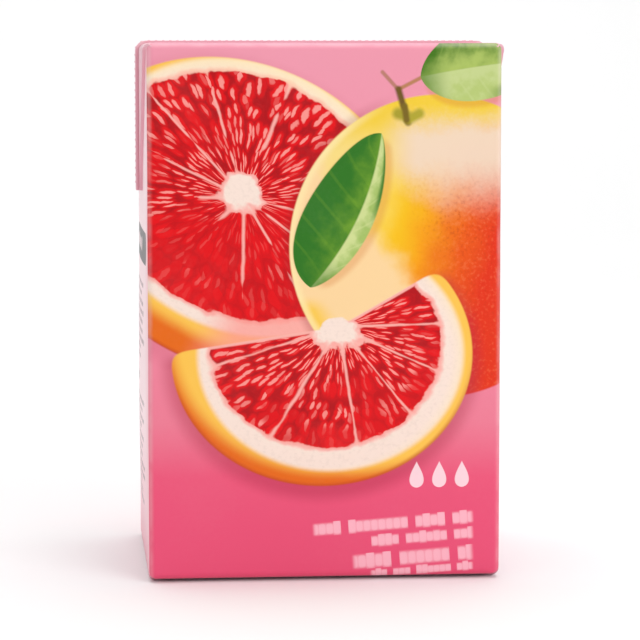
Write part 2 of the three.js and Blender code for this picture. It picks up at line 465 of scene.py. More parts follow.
@shader_group()
def whole_citrus(graph, given):
    """A whole citrus of radius 1: pale at the left and under the light, red at the lower right."""
    x, _, z = graph.split(given["Point"])
    radius = (x * x + z * z).root()
    mottle = graph.noise(given["Point"], 6, 3) - 0.5
    grain = graph.noise(given["Point"], 42, 3) - 0.5
    ripeness = x * 0.9 - z * 0.25 + mottle * 0.14
    skin = graph.ramp(
        ripeness + 0.5,
        (
            (0.10, linear(248, 208, 58)),
            (0.24, linear(246, 190, 20)),
            (0.38, linear(246, 160, 8)),
            (0.50, linear(238, 122, 12)),
            (0.64, linear(234, 88, 14)),
            (0.82, linear(227, 50, 16)),
        ),
    )
    pale_cheek = ripeness.rise(-0.28, -0.62)
    top_glow = z.rise(0.60, 0.86)
    cream = (x + z * 0.75 + mottle * 0.3).rise(-0.24, -0.50) * x.rise(0.1, -0.15)
    low_rim = radius.rise(0.80, 0.95) * z.rise(-0.30, -0.42) * x.rise(-0.5, -0.7)
    pores = x.rise(-0.3, 0.2) * 0.2
    light_pores = grain.rise(0.02, 0.2) * pores * 0.5
    dark_pores = grain.rise(-0.02, -0.2) * (pores * (1 + z.rise(-0.2, 0.2)) * z.rise(0.75, 0.5))
    haze = z + mottle * 0.16 + grain * 0.08
    shine = haze.rise(0.14 - x.least(0) * 0.6, 0.60) * haze.rise(0.93, 0.70) * x.rise(-0.44, -0.14)
    lit_edge = radius.rise(0.93, 0.98) * x.rise(-0.3, -0.7)
    skin = graph.paint(
        skin,
        (pale_cheek, linear(246, 218, 130)),
        (top_glow, linear(242, 204, 56)),
        (cream, linear(250, 213, 158)),
        (low_rim, linear(248, 200, 76)),
        (light_pores, linear(255, 190, 130)),
        (dark_pores, linear(186, 52, 8)),
        (shine * 0.95, linear(241, 216, 192)),
        (lit_edge * 0.7, linear(253, 232, 172)),
    )
    return {"Colour": skin, "Inside": radius.rise(1.0, 0.985)}


@shader_group(*LEAF_INKS, width=0.42, bend=0.1, lean=0.3, glow=0)
def leaf_shape(graph, given):
    """A leaf from -1 to 1 along X, with a bent midrib, side veins and one half turned to the light."""
    deep, light, rim = (given[name] for name in ("Leaf Deep", "Leaf Light", "Leaf Rim"))
    x, _, z = graph.split(given["Point"])
    arch = (1 - x * x).most(0)
    off = z + given["Bend"] * arch
    half = given["Width"] * arch.power(0.62) * (1.05 - x * 0.2) * (1 + given["Lean"] * off.sign())
    aside = off / half.most(0.001)
    mottle = graph.noise(given["Point"], 5, 3) - 0.5
    veins = ((x * 1.1 - aside.size() * 0.3) * 6 * math.pi).sine().rise(0.86, 1.0)
    turned = (-aside).rise(0.55, 0.85) * x.rise(-0.1, 0.35)
    pale = graph.paint(
        rim,
        ((aside + mottle * 2.5).rise(-0.1, -1.0) * 0.6, light),
        (veins * 0.4, rim),
        (turned * 0.9, deep),
    )
    blade = graph.paint(
        deep,
        ((aside + mottle * 1.6 - given["Glow"]).rise(0.7, -0.7), light),
        (veins * 0.16, light),
        (off.rise(0.012, -0.012), pale),
        (x.rise(-0.5, -1.0) * 0.7, deep),
    )
    below = half + 0.08 - (off + 0.05).size()
    return {
        "Colour": blade,
        "Inside": (half - off.size()).rise(0, 0.02),
        "Shadow": below.rise(0, 0.10) * arch.rise(0, 0.25),
    }


@shader_group()
def drop_shape(graph, given):
    """A drop from -1 to 1 along Z."""
    x, _, z = graph.split(given["Point"])
    half = (1 - z * z).most(0).root() * ((1 - z) / 2).most(0).power(0.75) * 0.78
    return {"Inside": (half - x.size()).rise(0, 0.06)}


@shader_group(rows=4, length=14, ragged=0.4, weight=0.5, way=1, blur=0.3, split=0.9, seed=0)
def text_rows(graph, given):
    """Rows of blurred bars in place of words.

    A row is 1 high, and runs from the point along X or, with a way of -1, against it.
    """
    letter_pitch, word_letters = 0.52, 6
    sharp, faint = 1 - given["Blur"], 1 + given["Blur"]
    x, _, z = graph.split(given["Point"])
    run = x * given["Way"]
    row = (-z).whole()
    letter = (run / letter_pitch).whole()
    ends = graph.chance(row * 7.3 + given["Seed"], 0.5)
    kind = graph.chance(letter + given["Seed"] * 3, row)
    reach = given["Length"] * (1 - given["Ragged"] * ends)
    block = (letter / word_letters).whole()
    space = (graph.chance(block + given["Seed"] * 5, row + 0.5) * 4).whole() + 2
    in_word = (letter - block * word_letters - space).size().above(0.5)
    tall = kind.rise(0.72, 0.80) * given["Weight"] * 0.16
    aside = ((run / letter_pitch).part() - 0.5).size() / (0.38 + kind * 0.10)
    level = ((-z).part() - 0.5 + tall * 0.5).size() / (given["Weight"] / 2 + tall)
    letters = (aside.power(3) + level.power(3)).rise(faint, sharp)
    body = letters * given["Split"] + level.rise(faint, sharp) * (1 - given["Split"])
    within = run.rise(0, given["Blur"]) * (reach - run).rise(0, given["Blur"])
    rows = row.above(-0.5) * (given["Rows"] - 0.5 - row).above(0)
    return {"Ink": body * within * rows * in_word}


@shader_group(half_width=0.05, half_depth=0.04, height=0.15, reach=0.001)
def crease_wear(graph, given):
    """Pale lines along the folded edges: partly ink strained and rubbed, partly a painted highlight of the
    film's sheen on the crease. Lengths are metres.
    """
    x, y, z = graph.split(given["Point"])
    middle = given["Height"] / 2
    near = []
    for way, half in ((x, given["Half Width"]), (y, given["Half Depth"]), (z - middle, middle)):
        near.append((way.size() - half).rise(-given["Reach"] * 1.6, -given["Reach"] * 0.4))
    edge = (near[0] * near[1]).most(near[1] * near[2]).most(near[0] * near[2])
    patchy = graph.noise(given["Point"], 160, 3).rise(0.30, 0.62)
    return {"Wear": edge * (0.35 + patchy * 0.65)}


@shader_group(gloss=0.34)
def film_gloss(graph, given):
    """The film over the board: its roughness, its fine fibre relief and a faint unevenness of the ink."""
    fibre = graph.noise(given["Point"], 900, 3)
    cloud = graph.noise(given["Point"], 45, 4)
    return {
        "Roughness": given["Gloss"] + (cloud - 0.5) * 0.14 + (fibre - 0.5) * 0.05,
        "Height": fibre * 0.35 + cloud * 0.65,
        "Mottle": cloud * 0.7 + fibre * 0.3,
    }


# Figures placed on a panel


def at_spot(graph, point, spot):
    """The point as seen from a figure at a spot.

    A spot is x, z and size in hundredths of the front panel's width, then a turn in degrees and a stretch.
    """
    place = [value * sizes().width / 100 for value in spot[:3]]
    return graph.place(point, *place, *spot[3:])


def lay(graph, colour, figure, shadow, shade):
    """A figure printed over what is there, with a soft shadow under it."""
    return graph.paint(colour, (figure["Shadow"] * shadow, shade), (figure["Inside"], figure["Colour"]))


def cut_citrus(graph, colour, point, spot, shadow=0.45, **shape):
    """A cut citrus in the pack's inks."""
    face = graph.use(citrus_face, at_spot(graph, point, spot), **shape, **inks(*CITRUS_INKS))
    return lay(graph, colour, face, shadow, linear(170, 34, 66))


def text_blocks(graph, colour, point, x, blocks, turn=0.0, **shape):
    """Bars in place of words, in blocks that start at x.

    A block has its top, the pitch, number and length of its rows, their weight, a seed and a tone.
    """
    for top, pitch, rows, reach, weight, seed, tone in blocks:
        here = at_spot(graph, point, (x, top, pitch, turn))
        bars = graph.use(text_rows, here, rows=rows, length=reach, weight=weight, seed=seed, **shape)
        colour = graph.mix(bars["Ink"] * 0.9, colour, tone)
    return colour


def drop_mark(graph, colour, point, spot, tone):
    """A drop printed in one tone."""
    drop = graph.use(drop_shape, at_spot(graph, point, spot))
    return graph.mix(drop["Inside"] * 0.85, colour, tone)


def stroke(graph, colour, point, start, end, width, tone, soft=0.5):
    """A round-ended stroke from start to end."""
    run, rise = end[0] - start[0], end[1] - start[1]
    half = math.hypot(run, rise) / 2
    spot = ((start[0] + end[0]) / 2, (start[1] + end[1]) / 2, half, math.degrees(math.atan2(rise, run)))
    x, _, z = graph.split(at_spot(graph, point, spot))
    past = (x.size() - 1).most(0)
    away = (past * past + z * z).root() * half
    return graph.mix(away.rise(width * (0.5 + soft * 0.2), width * (0.5 - soft * 0.7)), colour, tone)


# Prints: each gives a colour from a graph and the point on the pack


def shaded_ground(graph, point, stops):
    """Tones from the foot of the pack to its top, a little uneven."""
    _, _, z = graph.split(point)
    drift = graph.noise(point, 18) - 0.5
    return graph.ramp(z / sizes().height + drift * 0.05, stops)


def pink_ground(graph, point):
    """The ground of the front and the back: pale at the top and deep at the foot."""
    low, top = inks("ground_low", "ground_top").values()
    stops = (
        (0.10, low),
        (0.20, linear(235, 86, 122)),
        (0.30, linear(236, 124, 148)),
        (0.55, linear(240, 144, 166)),
        (0.95, top),
    )
    return shaded_ground(graph, point, stops)


# Figures of the front
FRONT_HALF = {
    "spot": (-23.0, 109.1, 38.9, -27, 1.23),
    "shadow": 0.2,
    "segments": 11,
    "turn": 0.745,
    "shine": 0.6,
    "membranes": 0.35,
    "pink": 0.75,
    "ripe": 0.62,
    "core_ring": (-0.05, 0.055, 0.14),
    "flesh_ring": (-0.011, 0.004, 0.865),
    "pith_ring": (0.009, 0, 0.955),
    "peel_ring": (0.03, -0.1375, 1.0875),
}
FRONT_WEDGE = {
    "spot": (3.7, 72.6, 37.0, 0, 1.15),
    "segments": 11,
    "turn": 1.56,
    "notch": 1,
    "shine": 1.3,
    "membranes": 0.9,
    "core_ring": (-0.01, -0.03, 0.13),
    "flesh_ring": (-0.085, -0.16, 0.77),
    "pith_ring": (-0.05, -0.22, 0.885),
    "peel_ring": (-0.108, -0.222, 1.0),
}
FRONT_WHOLE = (32.5, 95.0, 43.1)
# Twigs, stalk and the hollow that it grows from: start, end, width and tone of each stroke
STALK = (
    ((20.6, 138.9), (16.0, 144.0), 1.4, linear(186, 124, 108)),
    ((20.6, 139.2), (28.4, 143.2), 1.4, linear(186, 128, 90)),
    ((23.2, 129.9), (20.5, 139.2), 2.4, linear(112, 84, 30)),
    ((20.4, 132.4), (22.6, 131.8), 4.2, linear(168, 156, 44)),
    ((23.4, 130.8), (26.4, 132.4), 3.6, linear(176, 164, 48)),
    ((22.2, 134.4), (22.8, 130.6), 2.4, linear(122, 100, 26)),
)
LIGHT_LEAF_TONES = (linear(62, 116, 18), linear(172, 194, 98), linear(198, 212, 142))


def whole_on_stalk(graph, colour, point):
    """The whole citrus, a soft shade on the half behind it, and its stalk."""
    here = at_spot(graph, point, FRONT_WHOLE)
    x, _, z = graph.split(here)
    near = (x * x + z * z).root().rise(1.07, 0.98) * x.rise(-0.2, -0.7) * 0.4
    fruit = graph.use(whole_citrus, here)
    colour = graph.paint(colour, (near, linear(150, 20, 30)), (fruit["Inside"], fruit["Colour"]))
    for start, end, width, tone in STALK:
        colour = stroke(graph, colour, point, start, end, width, tone)
    return colour


def two_leaves(graph, colour, point):
    """A light leaf on the twig and a dark one lying on the whole citrus."""
    for spot, width, bend, lean, glow, tones in (
        ((45.6, 145.3, 19.0, 8), 0.50, -0.03, 0.05, 0.5, dict(zip(LEAF_INKS, LIGHT_LEAF_TONES))),
        ((5.7, 105.3, 23.8, 65), 0.39, 0.16, 0.50, 0.0, inks(*LEAF_INKS)),
    ):
        here = at_spot(graph, point, spot)
        leaf = graph.use(leaf_shape, here, width=width, bend=bend, lean=lean, glow=glow, **tones)
        colour = lay(graph, colour, leaf, 0.4, linear(216, 132, 58))
    return colour


def front_print(graph, point):
    """Half a citrus, a whole one with leaves and a wedge on the pink ground, and rows in place of words."""
    colour = pink_ground(graph, point)
    colour = cut_citrus(graph, colour, point, **FRONT_HALF)
    colour = whole_on_stalk(graph, colour, point)
    colour = two_leaves(graph, colour, point)
    colour = cut_citrus(graph, colour, point, **FRONT_WEDGE)
    for x_drop in (25.9, 32.4, 38.9):
        colour = drop_mark(graph, colour, point, (x_drop, 30.4, 3.9), linear(255, 228, 234))
    pale = inks("pale")["pale"]
    blocks = (
        (20.0, 4.1, 1, 11.4, 0.76, 3, pale),
        (15.2, 3.8, 1, 8.2, 0.70, 11, pale),
        (10.0, 4.6, 1, 7.7, 0.80, 5, pale),
        (5.4, 3.2, 1, 9.4, 0.64, 8, pale),
    )
    return text_blocks(graph, colour, point, 42.5, blocks, turn=4, ragged=0, way=-1, blur=0.35, split=0.25)


def back_print(graph, point):
    """Whole slices on the pink ground beside rows in place of words."""
    x, y, z = graph.split(point)
    facing = graph.join(-x, y, z)
    colour = pink_ground(graph, point)
    for spot, turn in (((-19, 114, 27.5), 0.4), ((20, 128.5, 16), 1.7), ((-34, 65, 14.5), 2.6)):
        colour = cut_citrus(graph, colour, facing, spot, turn=turn, peel_ring=(-0.016, -0.012, 1), shine=0.6)
    pale = inks("pale")["pale"]
    blocks = (
        (82.0, 4.6, 2, 11, 0.66, 2, pale),
        (69.5, 2.9, 7, 18, 0.50, 21, pale),
        (45.5, 2.9, 11, 18, 0.50, 42, pale),
    )
    return text_blocks(graph, colour, facing, -12.5, blocks, ragged=0.4)


def side_print(graph, point):
    """A heading on a dark plate and rows in place of words, on a pale ground that deepens to the foot."""
    side, heading = inks("side", "text").values()
    small = linear(150, 116, 124)
    x, y, z = graph.split(point)
    facing = graph.join(y * x.sign(), 0, z)
    stops = ((0.0, linear(243, 170, 186)), (0.12, linear(248, 200, 209)), (0.30, side), (1.0, side))
    colour = shaded_ground(graph, point, stops)
    colour = graph.mix(y.rise(-26 * MM, -38 * MM) * 0.7, colour, linear(250, 194, 202))
    colour = stroke(graph, colour, facing, (-31.5, 93.8), (31.5, 93.8), 9.4, heading, soft=0.03)
    blocks = (
        (96.6, 5.6, 1, 9.5, 0.6, 14, side),
        (84, 2.7, 9, 22, 0.50, 31, small),
        (56, 3.9, 1, 11, 0.64, 17, heading),
        (50, 2.7, 12, 22, 0.50, 77, small),
    )
    return text_blocks(graph, colour, facing, -32, blocks, ragged=0.35)


def blush_print(graph, point):
    """The top, the base and the ears: one pale ink, a little uneven, with a few rows on the top."""
    drift = graph.noise(point, 30, 3)
    plain = graph.mix(drift * 0.35, inks("blush")["blush"], linear(240, 196, 206))
    x, y, z = graph.split(point)
    flat = graph.join(x, 0, y)
    red = linear(206, 84, 116)
    blocks = ((-15, 3.6, 1, 9, 0.64, 9, red), (-20, 2.5, 4, 17, 0.5, 51, red))
    marked = text_blocks(graph, plain, flat, -42, blocks, ragged=0.4)
    marked = drop_mark(graph, marked, flat, (43.7, -23, 3.4), linear(214, 70, 106))
    on_top = (z - sizes().height).rise(-1.6 * MM, -1.2 * MM)
    return graph.mix(on_top, plain, marked)


def cut_edge_print(graph, point):
    """The sheet's cut edge: bare pulp with fine fibres."""
    fibres = graph.noise(graph.vector_math("MULTIPLY", {0: point, 1: (900, 900, 6000)}), 1, 3)
    return graph.mix(fibres.rise(0.35, 0.7) * 0.5, inks("board")["board"], linear(206, 184, 160))


def slit_print(graph, point):
    """Painted shade: the dark inside of a slit, given as colour."""
    return graph.mix(graph.noise(point, 2000, 2), linear(120, 66, 78), linear(160, 100, 110))


# Materials


def new_material(name, draw):
    """A material whose shader inputs come from a function of a graph and the point on the object."""
    made = bpy.data.materials.new(name)
    made.use_nodes = True
    graph = Graph(made.node_tree)
    shader = made.node_tree.nodes["Principled BSDF"]
    point = graph.node("ShaderNodeTexCoord").outputs["Object"]
    for label, value in draw(graph, point).items():
        graph.feed(shader.inputs[label], value)
    return made


def film_over(draw, gloss):
    """The shader inputs of a print under film, pale along the creases with rubbed ink and a painted
    highlight.
    """

    def finish(graph, point):
        pack = sizes()
        film = graph.use(film_gloss, point, gloss=gloss)
        lengths = {"half_width": pack.width / 2, "half_depth": pack.depth / 2, "height": pack.height}
        wear_and_sheen = graph.use(crease_wear, point, reach=pack.crease / 2, **lengths)["Wear"]
        colour = graph.paint(
            draw(graph, point),
            ((film["Mottle"] - 0.5).most(0) * 0.06, linear(255, 244, 240)),
            # Pale along the creases: rubbed ink and a painted highlight of the film's sheen.
            (wear_and_sheen * 0.22, linear(255, 232, 232)),
        )
        relief = {"Height": film["Height"], "Strength": 0.12, "Distance": 0.2 * MM}
        return {
            "Base Color": colour,
            "Roughness": film["Roughness"],
            "Normal": graph.out("ShaderNodeBump", relief),
            "Specular IOR Level": 0.2,
        }

    return finish


# Each print with the roughness of the film over it
PRINTS = {
    "front_print": (front_print, 0.34),
    "back_print": (back_print, 0.34),
    "side_print": (side_print, 0.36),
    "blush_board": (blush_print, 0.38),
    "cut_edge": (cut_edge_print, 0.85),
    # Painted shade in the slits, not print.
    "slit_shade": (slit_print, 0.7),
}


def material(name):
    """A printed material by name, made when it is first asked for."""
    return bpy.data.materials.get(name) or new_material(name, film_over(*PRINTS[name]))


# Objects and meshes

SHARP_ANGLE = math.radians(40)


def new_object(name, data):
    """An object in the scene."""
    made = bpy.data.objects.new(name, data)
    bpy.context.scene.collection.objects.link(made)
    return made


def finish_piece(name, mesh):
    """A finished piece of the pack: it rides on the pack and stands for the solid."""
    mesh.name = name
    mesh.shade_smooth()
    mesh.set_sharp_from_angle(angle=SHARP_ANGLE)
    piece = new_object(name, mesh)
    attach(piece, "root")
    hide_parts("carton")


def plain_mesh(carrier):
    """What a carrier's modifiers make of it. The carrier goes."""
    graph = bpy.context.evaluated_depsgraph_get()
    shaped = carrier.evaluated_get(graph)
    made = bpy.data.meshes.new_from_object(shaped, preserve_all_data_layers=True, depsgraph=graph)
    old = carrier.data
    bpy.data.objects.remove(carrier)
    bpy.data.meshes.remove(old)
    while made.materials and made.materials[0] is None:
        made.materials.pop(index=0)
    return made


def through_nodes(mesh, build, **lengths):
    """The plain mesh that a geometry tree makes of a mesh."""
    tree = build()
    values = titled(lengths)
    carrier = new_object("carrier", mesh)
    modifier = carrier.modifiers.new(tree.name, "NODES")
    modifier.node_group = tree
    for item in tree.interface.items_tree:
        if item.in_out == "INPUT" and item.name in values:
            modifier[item.identifier] = values[item.name]
    return plain_mesh(carrier)


def bevelled(mesh, width):
    """The mesh with its sharp edges rounded."""
    carrier = new_object("carrier", mesh)
    bevel = carrier.modifiers.new("round", "BEVEL")
    bevel.width = width
    bevel.segments = 3
    bevel.limit_method = "ANGLE"
    bevel.angle_limit = math.radians(50)
    return plain_mesh(carrier)


def as_mesh(built, name):
    """The mesh of what bmesh built."""
    made = bpy.data.meshes.new(name)
    built.to_mesh(made)
    built.free()
    return made


# The sleeve: four panels, top and base

SLEEVE_MATERIALS = ("front_print", "side_print", "back_print", "blush_board", "cut_edge")
# Each panel's way out, its right and its up, as axis and sign, its corner on the bake map, the scale there
# in map widths for each metre, and its print
PANELS = (
    ((1, -1), (0, 1), (2, 1), (0.010, 0.010), 5.2, "front_print"),
    ((1, 1), (0, -1), (2, 1), (0.525, 0.010), 2.6, "back_print"),
    ((0, -1), (1, -1), (2, 1), (0.785, 0.010), 2.6, "side_print"),
    ((0, 1), (1, 1), (2, 1), (0.785, 0.405), 2.6, "side_print"),
    ((2, 1), (0, 1), (1, 1), (0.525, 0.405), 2.6, "blush_board"),
    ((2, -1), (0, 1), (1, -1), (0.525, 0.620), 2.6, "blush_board"),
)
GRID_PITCH = 2.0 * MM
CREASE_STEPS = 5
SEAM_EDGE = 0.05 * MM  # half the width of the strip that rises over the sheet's edge
# Round a crease, the front and back prints reach to where this share of the board's way still faces them
WRAP = 0.25


def places_along(half, crease, extra=()):
    """Places across a panel: even over its flat, closer round its two creases."""
    flat = half - crease
    even = np.linspace(-flat, flat, math.ceil(2 * flat / GRID_PITCH) + 1)
    turns = np.radians(np.linspace(0, 45, CREASE_STEPS + 1)[1:])
    bend = flat + crease * np.tan(turns)
    return np.sort(np.concatenate([-bend, even, bend, extra]))


def panel_points(half, crease, columns, rows, out, right, up):
    """A grid of points over a panel of a box, bent round the creases, and the way that each point faces."""
    points = np.zeros((len(columns), len(rows), 3))
    points[:, :, out[0]] = half[out[0]] * out[1]
    points[:, :, right[0]] = (columns * right[1])[:, None]
    points[:, :, up[0]] = (rows * up[1])[None, :]
    core = np.clip(points, crease - half, half - crease)
    way = points - core
    way /= np.linalg.norm(way, axis=2, keepdims=True)
    return core + way * crease, way


def shown_print(pack, centre, facing, own, seam_foot):
    """What a face of the sleeve shows: the seam's raw edge, a print reaching round a crease, or its own."""
    if abs(centre.x - pack.seam_place) < SEAM_EDGE and centre.y > pack.fin_width:
        return "cut_edge" if centre.z > seam_foot else own
    if abs(facing) > WRAP:
        return "front_print" if facing < 0 else "back_print"
    return own


def sleeve_mesh(pack):
    """A box with round creases, all in quads, with the print's materials and a bake map."""
    half = np.array([pack.width, pack.depth, pack.height - pack.ear_board]) / 2
    middle = np.array([0, 0, pack.ear_board + half[2]])
    seam_foot = middle[2] / 10
    seam = (pack.seam_place - SEAM_EDGE, pack.seam_place + SEAM_EDGE)
    places = [places_along(h, pack.crease, seam if axis == 0 else ()) for axis, h in enumerate(half)]
    built = bmesh.new()
    bake = built.loops.layers.uv.new("OFBake")
    for out, right, up, corner, scale, own in PANELS:
        columns = np.sort(places[right[0]] * right[1])
        rows = np.sort(places[up[0]] * up[1])
        points, way = panel_points(half, pack.crease, columns, rows, out, right, up)
        made = [[built.verts.new(p) for p in row] for row in points + middle]
        spread_u = corner[0] + (columns - columns[0]) * scale
        spread_v = corner[1] + (rows - rows[0]) * scale
        for i, j in np.ndindex(len(columns) - 1, len(rows) - 1):
            around = ((i, j), (i + 1, j), (i + 1, j + 1), (i, j + 1))
            face = built.faces.new([made[a][b] for a, b in around])
            for loop, (a, b) in zip(face.loops, around):
                loop[bake].uv = (spread_u[a], spread_v[b])
            facing = (way[i, j, 1] + way[i + 1, j + 1, 1]) / 2
            shown = shown_print(pack, face.calc_center_median(), facing, own, seam_foot)
            face.material_index = SLEEVE_MATERIALS.index(shown)
    bmesh.ops.remove_doubles(built, verts=built.verts, dist=1e-6)
    made = as_mesh(built, "sleeve")
    for name in SLEEVE_MATERIALS:
        made.materials.append(material(name))
    return made


def crown(field, low, high):
    """1 in the middle of a span and 0 at both of its ends."""
    across = (field * 2 - low - high) / (high - low)
    return (1 - across * across).most(0)


SLEEVE_SIZES = (
    *("height", "crease", "front_bulge", "side_bulge", "top_dish", "pinch", "waviness", "fin_width"),
    *("seam_place", "seam_step", "seam_ramp"),
)
PINCH_PLACE = 0.80  # of the way from a panel's middle to its crease
PINCH_DROP = 11 * MM  # from the top of the pack
PINCH_REACH = 10 * MM  # each way from there


@geometry_tree("half_width", "half_depth", "base", *SLEEVE_SIZES)
def filled_panels(graph, given):
    """The juice pushes the panels out, the corners draw them in, and the seam lifts the back."""
    position = graph.out("GeometryNodeInputPosition")
    x, y, z = graph.split(position)
    half_x, half_y, height, crease = (given[n] for n in ("Half Width", "Half Depth", "Height", "Crease"))
    flat_x, flat_y = half_x - crease, half_y - crease
    on_front = y.size().rise(flat_y, half_y)
    on_side = x.size().rise(flat_x, half_x)
    on_top = z.rise(height - crease, height)
    ear_tip = height - half_y

    push_y = given["Front Bulge"] * crown(x, -flat_x, flat_x) * crown(z, given["Base"], height)
    corner_x = (x.size() - flat_x * PINCH_PLACE) / PINCH_REACH
    corner_z = (z - height + PINCH_DROP) / PINCH_REACH
    pinch = given["Pinch"] * (1 - corner_x * corner_x).most(0) * (1 - corner_z * corner_z).most(0)
    push_x = given["Side Bulge"] * crown(y, -flat_y, flat_y) * crown(z, given["Base"], ear_tip)
    beyond = x - given["Seam Place"]
    lift = given["Seam Step"] * beyond.above(0) * (1 - beyond / given["Seam Ramp"]).most(0) * y.above(0)
    front_dish = crown(y, -flat_y, 0)
    back_dish = crown(y, given["Fin Width"], flat_y)
    dish = given["Top Dish"] * crown(x, -flat_x, flat_x) * front_dish.most(back_dish)

    move_x = x.sign() * push_x * on_side
    move_y = (y.sign() * (push_y - pinch) + lift) * on_front
    move_z = (lift - dish) * on_top
    wave = (graph.noise(position, 42, 1) - 0.5) * given["Waviness"] * z.rise(1 * MM, 8 * MM)
    swell = graph.vector_math("SCALE", {0: graph.out("GeometryNodeInputNormal"), "Scale": wave})
    move = graph.vector_math("ADD", {0: graph.join(move_x, move_y, move_z), 1: swell})
    return {"Geometry": graph.out("GeometryNodeSetPosition", {"Geometry": given["Geometry"], "Offset": move})}


# Ears: plates bent along a path of X and Z, from a tucked start round the fold to a blunt tip

EAR_COLUMNS = 25
EAR_TIP = 1.2 * MM  # half the width of the blunt tip
EAR_SUNK = 0.4 * MM  # how far the under side goes into the sleeve
EAR_EDGE = 0.3 * MM  # radius of the rounded edges
EAR_CLEAR = 0.4 * MM  # how far a top ear stops short of the front and the back


def arc(centre_x, centre_z, radius, start, end, steps=8):
    """Points round part of a circle in X and Z, by angles in degrees."""
    angles = np.radians(np.linspace(start, end, steps + 1))
    return [(centre_x + radius * math.cos(a), centre_z + radius * math.sin(a)) for a in angles]


def line(start, end, steps):
    """Points after the start, up to the end."""
    start, end = np.array(start), np.array(end)
    return [tuple(start + (end - start) * i / steps) for i in range(1, steps + 1)]


def ear_path(start, lead_end, bend, tip):
    """Points along an ear, and which of them starts the fold."""
    lead_steps, tip_steps = 3, 16
    lead = [start] + line(start, lead_end, lead_steps)
    return lead + bend + line(bend[-1], tip, tip_steps), len(lead)


def top_ear_path(pack):
    """From under the top panel, over the fold and down the right side."""
    tuck, tuck_depth, flat = 7 * MM, 0.5 * MM, 2.5 * MM
    outside = pack.width / 2 + pack.ear_board
    bend = arc(outside - pack.crease, pack.height - pack.crease, pack.crease, 90, 0)
    start = (bend[0][0] - tuck, pack.height - tuck_depth)
    tip = (outside, pack.height - pack.depth / 2)
    return ear_path(start, (bend[0][0] - flat, pack.height), bend, tip)


def base_ear_path(pack):
    """Down the right side, round the fold and in under the base."""
    tuck, tuck_depth, flat = 5 * MM, 0.6 * MM, 1.5 * MM
    bend = arc(pack.width / 2 - pack.crease, pack.crease, pack.crease, 0, -90)
    start = (pack.width / 2 - tuck_depth, pack.crease + tuck)
    tip = (pack.width / 2 - pack.depth / 2, 0)
    return ear_path(start, (pack.width / 2, pack.crease + flat), bend, tip)


def corner_drop(pack, y):
    """How far the round creases at the panel's ends fall away at y."""
    past = np.clip(y - (pack.depth / 2 - pack.crease), 0, pack.crease * 0.95)
    return pack.crease - np.sqrt(pack.crease**2 - past**2)


def folded_ear(pack, path, fold_at, full):
    """A plate along a path, at full half width to the fold and then tapering to its tip."""
    path = np.array(path)
    tangent = np.gradient(path, axis=0)
    tangent /= np.linalg.norm(tangent, axis=1, keepdims=True)
    normal = np.stack([-tangent[:, 1], tangent[:, 0]], axis=1)
    run = np.concatenate([[0], np.cumsum(np.linalg.norm(np.diff(path, axis=0), axis=1))])
    half = np.maximum(full - np.maximum(run - run[fold_at], 0), EAR_TIP)
    y = half[:, None] * np.linspace(-1, 1, EAR_COLUMNS)[None, :]
    drop = corner_drop(pack, np.abs(y))
    layers = []
    for depth in (drop, drop + pack.ear_board + EAR_SUNK):
        x, z = (path[:, None, axis] - normal[:, None, axis] * depth for axis in (0, 1))
        layers.append(np.stack([x, y, z], 2))
    return plate_mesh(*layers)


def plate_mesh(outer, inner):
    """A closed plate between two grids of points."""
    rows, columns = outer.shape[:2]
    built = bmesh.new()
    over, under = ([[built.verts.new(p) for p in row] for row in grid] for grid in (outer, inner))
    for i, j in np.ndindex(rows - 1, columns - 1):
        built.faces.new((over[i][j], over[i + 1][j], over[i + 1][j + 1], over[i][j + 1]))
        built.faces.new((under[i][j], under[i][j + 1], under[i + 1][j + 1], under[i + 1][j]))
    rim = [(i, 0) for i in range(rows)] + [(rows - 1, j) for j in range(1, columns)]
    rim += [(i, columns - 1) for i in range(rows - 2, -1, -1)] + [(0, j) for j in range(columns - 2, 0, -1)]
    for (a, b), (c, d) in zip(rim, rim[1:] + rim[:1]):
        built.faces.new((over[a][b], under[a][b], under[c][d], over[c][d]))
    bmesh.ops.recalc_face_normals(built, faces=built.faces)
    return as_mesh(built, "plate")


def turned_round(mesh):
    """A copy of a mesh, turned half round about Z."""
    made = mesh.copy()
    places = np.zeros(len(made.vertices) * 3)
    made.vertices.foreach_get("co", places)
    made.vertices.foreach_set("co", (places.reshape(-1, 3) * (-1, -1, 1)).ravel())
    return made


# Fins, pips and slits: strips and rows along a path


def path_mesh(points, y):
    """A row of edges in the X-Z plane at y."""
    mesh = bpy.data.meshes.new("path")
    mesh.from_pydata([(x, y, z) for x, z in points], [(i, i + 1) for i in range(len(points) - 1)], [])
    return mesh


def fin_path(pack):
    """Middle line of the top fin, from one ear's tip across the top to the other's."""
    side_steps, top_steps = 18, 46
    outside = pack.width / 2 + pack.ear_board
    radius = pack.crease + pack.fin_board / 2
    tip = pack.height - pack.depth / 2
    right = arc(outside - pack.crease, pack.height - pack.crease, radius, 90, 0)
    left = [(-x, z) for x, z in reversed(right)]
    up = line((left[0][0], tip), left[0], side_steps)
    across = line(left[-1], right[0], top_steps)
    down = line(right[-1], (right[-1][0], tip), side_steps)
    return [(left[0][0], tip)] + up + left[1:] + across + right[1:] + down


def coated(graph, geometry, name, **chosen):
    """Geometry in a printed material, or a chosen part of it."""
    return graph.out("GeometryNodeSetMaterial", {"Geometry": geometry, "Material": material(name), **chosen})


def stations(graph, given):
    """Points along the path at an even pitch."""
    route = graph.out("GeometryNodeMeshToCurve", {0: given["Geometry"]})
    return graph.out("GeometryNodeResampleCurve", {"Curve": route, "Length": given["Pitch"]}, mode="LENGTH")


